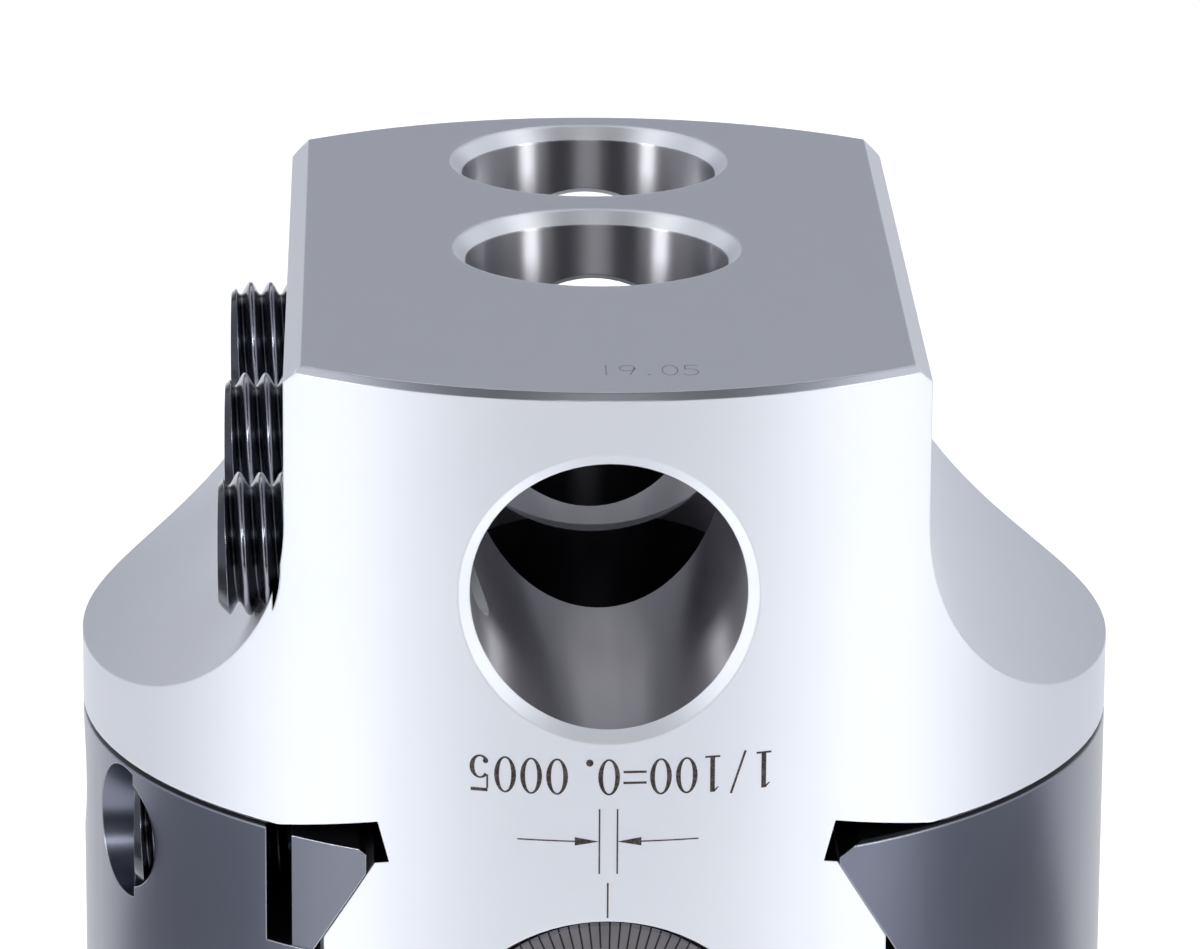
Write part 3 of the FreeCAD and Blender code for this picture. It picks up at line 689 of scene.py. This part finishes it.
def tooth_space(pitch):
    """Half outline of a rolled thread's wavy tooth space, as (depth, distance along) from its middle."""
    half = pitch * (1 - CREST_SHARE) / 2
    depth = THREAD_DEPTH_SHARE * pitch
    steepest = math.pi * depth / (2 * half)
    phases = [math.asin(math.tan(math.radians(angle)) / steepest) for angle in ROOT_ANGLES]
    phases += [math.pi - math.asin(math.tan(math.radians(angle)) / steepest) for angle in CREST_ANGLES]
    points = [(depth * (1 + math.cos(phase)) / 2, half * phase / math.pi) for phase in phases]
    last_depth, last_along = points[-1]
    rise = last_depth + GROOVE_OVERSHOOT
    points.append((-GROOVE_OVERSHOOT, last_along + rise / math.tan(math.radians(CREST_ANGLES[-1]))))
    return points


for depth, along in tooth_space(1.5 * MM):
    print("tooth space point, deep", round(depth / MM, 3), "along", round(along / MM, 3), "mm")

# %% [markdown]
# ### Winding the groove
# A circle with as many vertices as the outline has points is laid onto it and wound up. A whole number
# of steps in a turn keeps the facets of neighbouring turns in line, and 48 look round at this size.

# %% Wind a groove
GROOVE_STEPS = 48
MERGE = 0.0005 * MM


def wind_groove(name, wall_radius, pitch, length, inside):
    """Solid tooth space wound round the Z axis, from Z = 0 up. Inside, it bites outwards."""
    outward = -1 if inside else 1
    half_outline = tooth_space(pitch)
    corners = [(wall_radius - outward * depth, -along) for depth, along in reversed(half_outline)]
    corners += [(wall_radius - outward * depth, along) for depth, along in half_outline[1:]]
    bpy.ops.mesh.primitive_circle_add(vertices=len(corners), radius=MM)
    groove = bpy.context.object
    groove.name = name
    for vertex, (reach, along) in zip(groove.data.vertices, corners):
        vertex.co = (reach, 0, along)
    winding = groove.modifiers.new("winding", "SCREW")
    winding.axis = "Z"
    winding.screw_offset = pitch
    winding.iterations = math.ceil(length / pitch)
    winding.steps = winding.render_steps = GROOVE_STEPS
    apply_modifiers(groove)
    edit(groove, lambda: bpy.ops.mesh.remove_doubles(threshold=MERGE),
         lambda: bpy.ops.mesh.fill_holes(sides=0),
         lambda: bpy.ops.mesh.normals_make_consistent(inside=False))
    return groove


print("a turn of thread has", GROOVE_STEPS, "steps")

# %% [markdown]
# ### Cutting with the groove
# The cut is a Boolean with the exact solver. The groove stands out of the wall by a hair, because a
# Boolean fails on two faces that lie in each other. After the cut, slivers thinner than a micrometre
# are merged away, so that the mesh stays closed.

# %% Cut a copy of a solid
SLIVER = 0.001 * MM


def copy_of_solid(node, name):
    """Merged copy of a node's mesh, free to be cut."""
    piece = bpy.data.objects.new(name, frame["nodes"][node].data.copy())
    bpy.context.scene.collection.objects.link(piece)
    edit(piece, lambda: bpy.ops.mesh.remove_doubles(threshold=MERGE))
    bpy.ops.mesh.customdata_custom_splitnormals_clear()
    return piece


def cut_away(piece, groove):
    """Takes the groove out of the piece and deletes it."""
    cut = piece.modifiers.new("thread", "BOOLEAN")
    cut.operation = "DIFFERENCE"
    cut.solver = "EXACT"
    cut.object = groove
    apply_modifiers(piece)
    bpy.data.objects.remove(groove)
    edit(piece, lambda: bpy.ops.mesh.remove_doubles(threshold=SLIVER),
         lambda: bpy.ops.mesh.dissolve_degenerate(threshold=SLIVER),
         lambda: bpy.ops.mesh.quads_convert_to_tris(),
         lambda: bpy.ops.mesh.dissolve_degenerate(threshold=SLIVER),
         lambda: bpy.ops.mesh.delete_loose())


print("slivers are thinner than", SLIVER, "m")

# %% [markdown]
# ### Height for the lightened crests
# The finish paints the crests lighter, partly as bare steel and partly as a painted highlight. So each
# vertex stores how far it stands out of its thread.
# Points away from the thread, as in a socket, store zero.

# %% Store the height in the thread
THREAD_REACH = 1.2


def write_thread_height(piece, middle, axis, wall_radius, pitch, inside):
    """Stores how far each vertex stands out of its thread, 0 at the root and 1 at the crest."""
    depth = THREAD_DEPTH_SHARE * pitch
    heights = piece.data.attributes.new(THREAD_HEIGHT, "FLOAT", "POINT")
    for vertex, height in zip(piece.data.vertices, heights.data):
        across = vertex.co - middle
        across["XYZ".index(axis)] = 0
        out = across.length - wall_radius
        share = 1 + (-out if inside else out) / depth
        height.value = share if abs(out) < THREAD_REACH * depth else 0


print("a thread of 1.5 mm is", round(THREAD_DEPTH_SHARE * 1.5, 3), "mm deep")

# %% [markdown]
# ### A threaded piece in place of its solid
# Shading is smooth up to 24 degrees, so the wound facets look round, and every real edge stays crisp,
# also the one of 27 degrees where the gib's recess meets the body. The new piece rides on the body
# that its solid rides on, and takes its place.

# %% Thread a solid
SMOOTH_ANGLE = math.radians(24)
bodies = {node: body for body, nodes in frame["record"]["behaviour"]["bodies"].items() for node in nodes}


def lay_along(groove, axis, middle, start):
    """Turns a groove from the Z axis to the screw's own axis, with its first turn at the start."""
    quarter = math.pi / 2
    if axis == "X":
        groove.rotation_euler = (0, quarter, 0)
        groove.location = (start, middle.y, middle.z)
    elif axis == "Y":
        groove.rotation_euler = (-quarter, 0, 0)
        groove.location = (middle.x, start, middle.z)
    else:
        groove.location = (0, 0, start)
    settle(groove)


def thread_solid(node, axis, wall_radius, pitch, start, length, inside=False):
    """Threaded copy of a node that takes its place. The axis is the one that the screw turns round."""
    low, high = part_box(node)
    middle = (low + high) / 2
    groove = wind_groove(node + "_groove", wall_radius, pitch, length, inside)
    lay_along(groove, axis, middle, start)
    piece = copy_of_solid(node, "threaded_" + node)
    cut_away(piece, groove)
    write_thread_height(piece, middle, axis, wall_radius, pitch, inside)
    choose(piece)
    bpy.ops.object.shade_smooth_by_angle(angle=SMOOTH_ANGLE)
    piece.data.materials.clear()
    piece.data.materials.append(finishes[slots[node]])
    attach(piece, bodies[node])
    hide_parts(node)
    print(piece.name, "faces", len(piece.data.polygons))


# %% [markdown]
# ### Set screws
# The clamp screws are M10 with 1.5 mm between the threads, and the gib and lock screws are M8 with
# 1.25 mm. Each groove starts one turn outside the screw, so that it runs out at both ends.

# %% Thread the set screws
CLAMP_RADIUS = 5.0 * MM
CLAMP_PITCH = 1.5 * MM
SMALL_RADIUS = 4.0 * MM
SMALL_PITCH = 1.25 * MM
set_screws = [(name, CLAMP_RADIUS, CLAMP_PITCH)
              for name in ("clamp_screw_cross", "clamp_screw_center", "clamp_screw_offset")]
set_screws += [(name, SMALL_RADIUS, SMALL_PITCH)
               for name in ("gib_screw_front", "gib_lock_screw", "gib_screw_rear", "shank_lock_screw")]
for name, radius, pitch in set_screws:
    low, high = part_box(name)
    thread_solid(name, "X", radius, pitch, low.x - pitch, high.x - low.x + 2 * pitch)

# %% [markdown]
# ### Lead screw and shank socket
# The lead screw has 20 threads per inch, so 1.27 mm from one to the next, and only between its collar
# and its rear journal. The shank screws into the body with 18 threads per inch. There the groove lies
# in the wall of a hole, so it bites outwards.

# %% Thread the lead screw and the shank socket
INCH = 25.4 * MM
LEAD_RADIUS = 0.375 * INCH / 2
LEAD_PITCH = INCH / 20
SHANK_RADIUS = 18.3 * MM
SHANK_PITCH = INCH / 18
SHANK_DEPTH = 10.5 * MM
collar_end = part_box("thrust_collar")[1].y
nut_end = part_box("lead_nut")[1].y
thread_solid("adjusting_screw", "Y", LEAD_RADIUS, LEAD_PITCH, collar_end + LEAD_PITCH / 2,
             nut_end - collar_end - LEAD_PITCH)
thread_solid("head_body", "Z", SHANK_RADIUS, SHANK_PITCH, -SHANK_PITCH, SHANK_DEPTH + SHANK_PITCH,
             inside=True)

# %% [markdown]
# ## Engraved marks
# An engraver's letter is a set of strokes that swell and thin out. Blender's own font has no such
# letters, and a real cut would need a Boolean for each stroke, for a depth that doesn't show. So each
# stroke is the filling alone. It starts as a narrow grid, whose vertices are carried onto the stroke's
# line, and from there onto the round steel, a hair above it.

# %% Stroke tool
MARK_LIFT = 0.012 * MM
LINE_SAMPLE = 0.01


def draw_stroke(line, width, steps, place):
    """One stroke. Its line gives (across, up) for a share from 0 to 1, and its width the same way."""
    bpy.ops.mesh.primitive_grid_add(size=1, x_subdivisions=steps, y_subdivisions=1)
    stroke = bpy.context.object
    for vertex in stroke.data.vertices:
        share = vertex.co.x + 0.5
        before = Vector(line(max(share - LINE_SAMPLE, 0.0)))
        after = Vector(line(min(share + LINE_SAMPLE, 1.0)))
        along = (after - before).normalized()
        reach = width(share) * vertex.co.y
        across, up = line(share)
        vertex.co = place(across - along.y * reach, up + along.x * reach)
    return stroke


print("marks lie", MARK_LIFT, "m above the steel")

# %% [markdown]
# Three kinds of stroke make all the signs here. Each is written as its line, its width and the number
# of steps it needs. An arc is thin where it runs level and thick where it runs upright, as printed
# numerals are.

# %% Kinds of stroke
ARC_STEPS = 28
DOT_STEPS = 12


def straight(start, end, first_width, last_width=None):
    """Straight stroke, which may widen or narrow to its last width."""
    last_width = first_width if last_width is None else last_width
    return (lambda share: (start[0] + (end[0] - start[0]) * share, start[1] + (end[1] - start[1]) * share),
            lambda share: first_width + (last_width - first_width) * share, 1)


def arc(middle, reach, first_degrees, last_degrees, thin, thick):
    """Part of an oval, thin where it runs level and thick where it runs upright."""
    def angle(share):
        return math.radians(first_degrees + (last_degrees - first_degrees) * share)

    return (lambda share: (middle[0] + reach[0] * math.cos(angle(share)),
                           middle[1] + reach[1] * math.sin(angle(share))),
            lambda share: thin + (thick - thin) * math.cos(angle(share)) ** 2, ARC_STEPS)


def dot(middle, radius):
    """Round dot, as a short stroke as wide as a circle is there."""
    return (lambda share: (middle[0] + radius * (2 * share - 1), middle[1]),
            lambda share: 2 * radius * math.sqrt(max(1e-4, 1 - (2 * share - 1) ** 2)), DOT_STEPS)


print("an arc has", ARC_STEPS, "steps and a dot", DOT_STEPS)

# %% [markdown]
# The strokes of one set of marks become one piece. The steel that they lie on is round, so whether a
# face points outwards depends on where it is, and a function says which way is out there.


# %% Join marks
def join_marks(name, strokes, facing, material, body):
    """Joins strokes into one piece whose faces look outwards, and lets it ride on a body."""
    bpy.ops.object.select_all(action="DESELECT")
    for stroke in strokes:
        stroke.select_set(True)
    bpy.context.view_layer.objects.active = strokes[0]
    bpy.ops.object.join()
    marks = bpy.context.object
    marks.name = name
    edit(marks, lambda: bpy.ops.mesh.remove_doubles(threshold=MERGE))
    for face in marks.data.polygons:
        if face.normal.dot(facing(face.center)) < 0:
            face.flip()
    marks.data.update()
    settle(marks)
    marks.data.materials.append(material)
    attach(marks, body)
    print(name, "faces", len(marks.data.polygons))


print("strokes merge where points lie within", MERGE, "m")

# %% [markdown]
# ### Filling of the marks
# Engraving is filled with a stick of soft paint and wiped. What stays is matt, and patchy where it lies
# thin. Its patches are a fifth of a millimetre across, so they show inside a stroke.

# %% Filling of the marks
PATCH_SIZE = 0.2 * MM


def engraving_fill(name, deep_hex, thin_hex):
    """Filling that turns from its deep colour to its thin one in patches."""
    material, tree, shader = start_material(name)
    place = add(tree, "TexCoord").outputs["Object"]
    grain = add(tree, "TexNoise", {"Vector": place, "Scale": 1 / PATCH_SIZE, "Detail": 4.0})
    thin = add(tree, "MapRange", {0: grain, 1: 0.40, 2: 0.80})
    base = add(tree, "Mix", {0: thin, 6: colour(deep_hex), 7: colour(thin_hex)}, data_type="RGBA")
    connect(tree, shader, {"Base Color": base, "Roughness": 0.55, "Specular IOR Level": 0.3})
    return material


# Wiped paint gives the legend a brown black, with paler specks where the steel comes near.
paint = engraving_fill("dark_paint_in_engraving", "#231D1E", "#5C5251")
# A scratch that was never filled is only a duller grey than the ground steel beside it.
scratch = engraving_fill("dull_scratched_steel", "#6E6A74", "#8A8890")
# The dial's filling is fresh and thick, and gives thin, dead black lines.
black_fill = engraving_fill("black_fill_in_dial_lines", "#0C0B0C", "#2A2628")
print("fillings", paint.name, scratch.name, black_fill.name)

# %% [markdown]
# ### Legend on the slide
# The legend stands above the dial and reads from the other side, upside down to us, as on a head that
# hangs in a spindle. Its letters are 2.65 mm high and 1.787 mm apart. Each is written in its own
# small frame, in millimetres, across from its middle and up from its foot.

# %% Signs of the legend
LETTER_TOP = 2.65
THIN = 0.13
THICK = 0.33
middle_up = LETTER_TOP / 2
letters = {
    "0": [arc((0, middle_up), (0.585, middle_up - THIN / 2), 90, 450, THIN, THICK)],
    "1": [straight((0, 0.1), (0, LETTER_TOP), THICK), straight((-0.52, 0.07), (0.52, 0.07), 0.14),
          straight((-0.42, 2.28), (-0.1, 2.58), 0.07, 0.16)],
    "5": [straight((-0.58, 2.53), (0.58, 2.53), 0.24), straight((-0.56, 2.42), (-0.56, 1.42), THIN),
          arc((-0.06, 0.86), (0.55, 0.79), 140, -140, THIN, THICK), dot((-0.44, 0.42), 0.19)],
    "/": [straight((-0.5, -0.2), (0.5, 2.85), 0.16)],
    "=": [straight((-0.8, 0.95), (0.8, 0.95), 0.17), straight((-0.8, 1.74), (0.8, 1.74), 0.17)],
    ".": [dot((-0.45, 0.29), 0.26)],
}
print("signs", sorted(letters))

# %% Draw the legend
CELL = 1.787
FIRST_CELL = 10.76
LEGEND_BASE = 7.7


def on_slide_front(x, z):
    """Point on the slide's round front, from millimetres across and above the body's top."""
    radius = HEAD_RADIUS + MARK_LIFT
    return Vector((x * MM, -math.sqrt(radius ** 2 - (x * MM) ** 2), BODY_TOP + z * MM))


strokes = []
for cell, letter in enumerate("1/100=0.0005"):
    middle_x = FIRST_CELL - CELL * cell
    for line, width, steps in letters[letter]:
        strokes.append(draw_stroke(line, width, steps,
                                   lambda across, up: on_slide_front(middle_x - across, LEGEND_BASE - up)))
print("legend strokes", len(strokes))

# %% [markdown]
# ### Index line and arrows
# Below the legend are two lines that show one division, with an arrow to each from its side, and the
# index line that the dial is read against.

# %% Draw the index line and the arrows
DIVISION_LINES_X = (-0.60, 0.64)
ARROW_TAIL = (6.26, 1.72)
ARROW_NECK = (2.30, 1.68)
ARROW_TIP = (0.66, 1.68)
ARROW_WIDTH = 0.62
INDEX_TOP = -1.36
INDEX_FOOT = -3.94
LINE_STEPS = 6

marks = [straight((0, INDEX_TOP), (0, INDEX_FOOT), 0.12)]
marks += [straight((x, -0.7), (x, 4.06), 0.11) for x in DIVISION_LINES_X]
for side in (-1, 1):
    tail, neck, tip = [(side * x, z) for x, z in (ARROW_TAIL, ARROW_NECK, ARROW_TIP)]
    marks += [straight(tail, neck, 0.10), straight(neck, tip, ARROW_WIDTH, 0.02)]
strokes += [draw_stroke(line, width, LINE_STEPS, on_slide_front) for line, width, steps in marks]
join_marks("slide_marks", strokes, lambda point: Vector((point.x, point.y, 0)), paint, "slide")

# %% [markdown]
# ### Bore size on the end face
# The bore's size in millimetres is scratched on the end face with a fine point, much fainter than the
# legend, and with the same width all along a stroke. So it has its own plain letters.

# %% Scratch the bore size
SCRATCH = 0.085
SIZE_CELL = 1.46
SIZE_PLACE = (-0.2, -32.8)
fine_letters = {
    "1": [straight((0, 0), (0, 2.4), SCRATCH)],
    "9": [arc((0, 1.7), (0.52, 0.68), 0, 360, SCRATCH, SCRATCH), straight((0.52, 1.7), (0.15, 0), SCRATCH)],
    ".": [dot((0, 0.1), 0.1)],
    "0": [arc((0, 1.2), (0.52, 1.18), 0, 360, SCRATCH, SCRATCH)],
    "5": [straight((-0.42, 2.38), (0.48, 2.38), SCRATCH), straight((-0.42, 2.38), (-0.42, 1.4), SCRATCH),
          arc((-0.08, 0.77), (0.56, 0.75), 130, -150, SCRATCH, SCRATCH)],
}


def on_end_face(x, y):
    """Point on the end face, from millimetres across and back."""
    return Vector((x * MM, y * MM, SLIDE_TOP + MARK_LIFT))


strokes = []
for cell, letter in enumerate("19.05"):
    left_x = SIZE_PLACE[0] + SIZE_CELL * cell
    for line, width, steps in fine_letters[letter]:
        strokes.append(draw_stroke(line, width, steps,
                                   lambda across, up: on_end_face(left_x + across, SIZE_PLACE[1] + up)))
join_marks("bore_size_mark", strokes, lambda point: Vector((0, 0, 1)), scratch, "slide")

# %% [markdown]
# ### Dial lines
# The dial has 100 divisions, so one division is 0.0127 mm of travel. Lines run in from the rim, longer
# at each fifth and tenth. They run over the chamfer too, so each has enough steps to follow it.

# %% Dial divisions
DIVISIONS = 100
DIAL_START = 0.27
DIAL_CHAMFER = 0.35 * MM
DIAL_LINE_WIDTH = 0.13
DIAL_LINE_STEPS = 24
LINE_ENDS = {10: 8.8, 5: 9.2, 1: 9.7}


def division_turn(division):
    """Angle of a division from the top, in radians."""
    return 2 * math.pi * (division + DIAL_START) / DIVISIONS


def on_dial(turn, radius):
    """Point on the dial's face or its chamfer, from a turn in radians and a radius in millimetres."""
    past = max(0.0, radius * MM - (DIAL_RADIUS - DIAL_CHAMFER))
    return Vector((math.sin(turn) * radius * MM, DIAL_FACE_Y + past - MARK_LIFT,
                   DIAL_AXIS_Z + math.cos(turn) * radius * MM))


def dial_line(division):
    """Line of one division."""
    turn = division_turn(division)
    length = next(step for step in LINE_ENDS if division % step == 0)
    line, width, steps = straight((0, LINE_ENDS[length]), (0, DIAL_RADIUS / MM), DIAL_LINE_WIDTH)
    return draw_stroke(line, width, DIAL_LINE_STEPS, lambda across, up: on_dial(turn + across / up, up))


strokes = [dial_line(division) for division in range(DIVISIONS)]
join_marks("dial_lines", strokes, lambda point: Vector((0, -1, 0)), black_fill, "dial_screw")

# %% [markdown]
# ### Dial numbers
# Each tenth division has its number, stamped with even strokes. Blender's own font is close to that,
# so these are text objects, turned into meshes before they are placed.

# %% Dial numbers
NUMBER_RADIUS = 7.8
NUMBER_HEIGHT = 1.25 * MM
numbers = []
for division in range(0, DIVISIONS, 10):
    bpy.ops.object.text_add()
    number = bpy.context.object
    number.data.body = str(division)
    number.data.size = NUMBER_HEIGHT
    number.data.align_x = "CENTER"
    number.data.align_y = "CENTER"
    bpy.ops.object.convert(target="MESH")
    number = bpy.context.object
    turn = division_turn(division)
    number.matrix_world = (Matrix.Translation(on_dial(turn, NUMBER_RADIUS)) @ Matrix.Rotation(turn, 4, "Y")
                           @ Matrix.Rotation(math.pi / 2, 4, "X"))
    settle(number)
    numbers.append(number)
join_marks("dial_numbers", numbers, lambda point: Vector((0, -1, 0)), black_fill, "dial_screw")
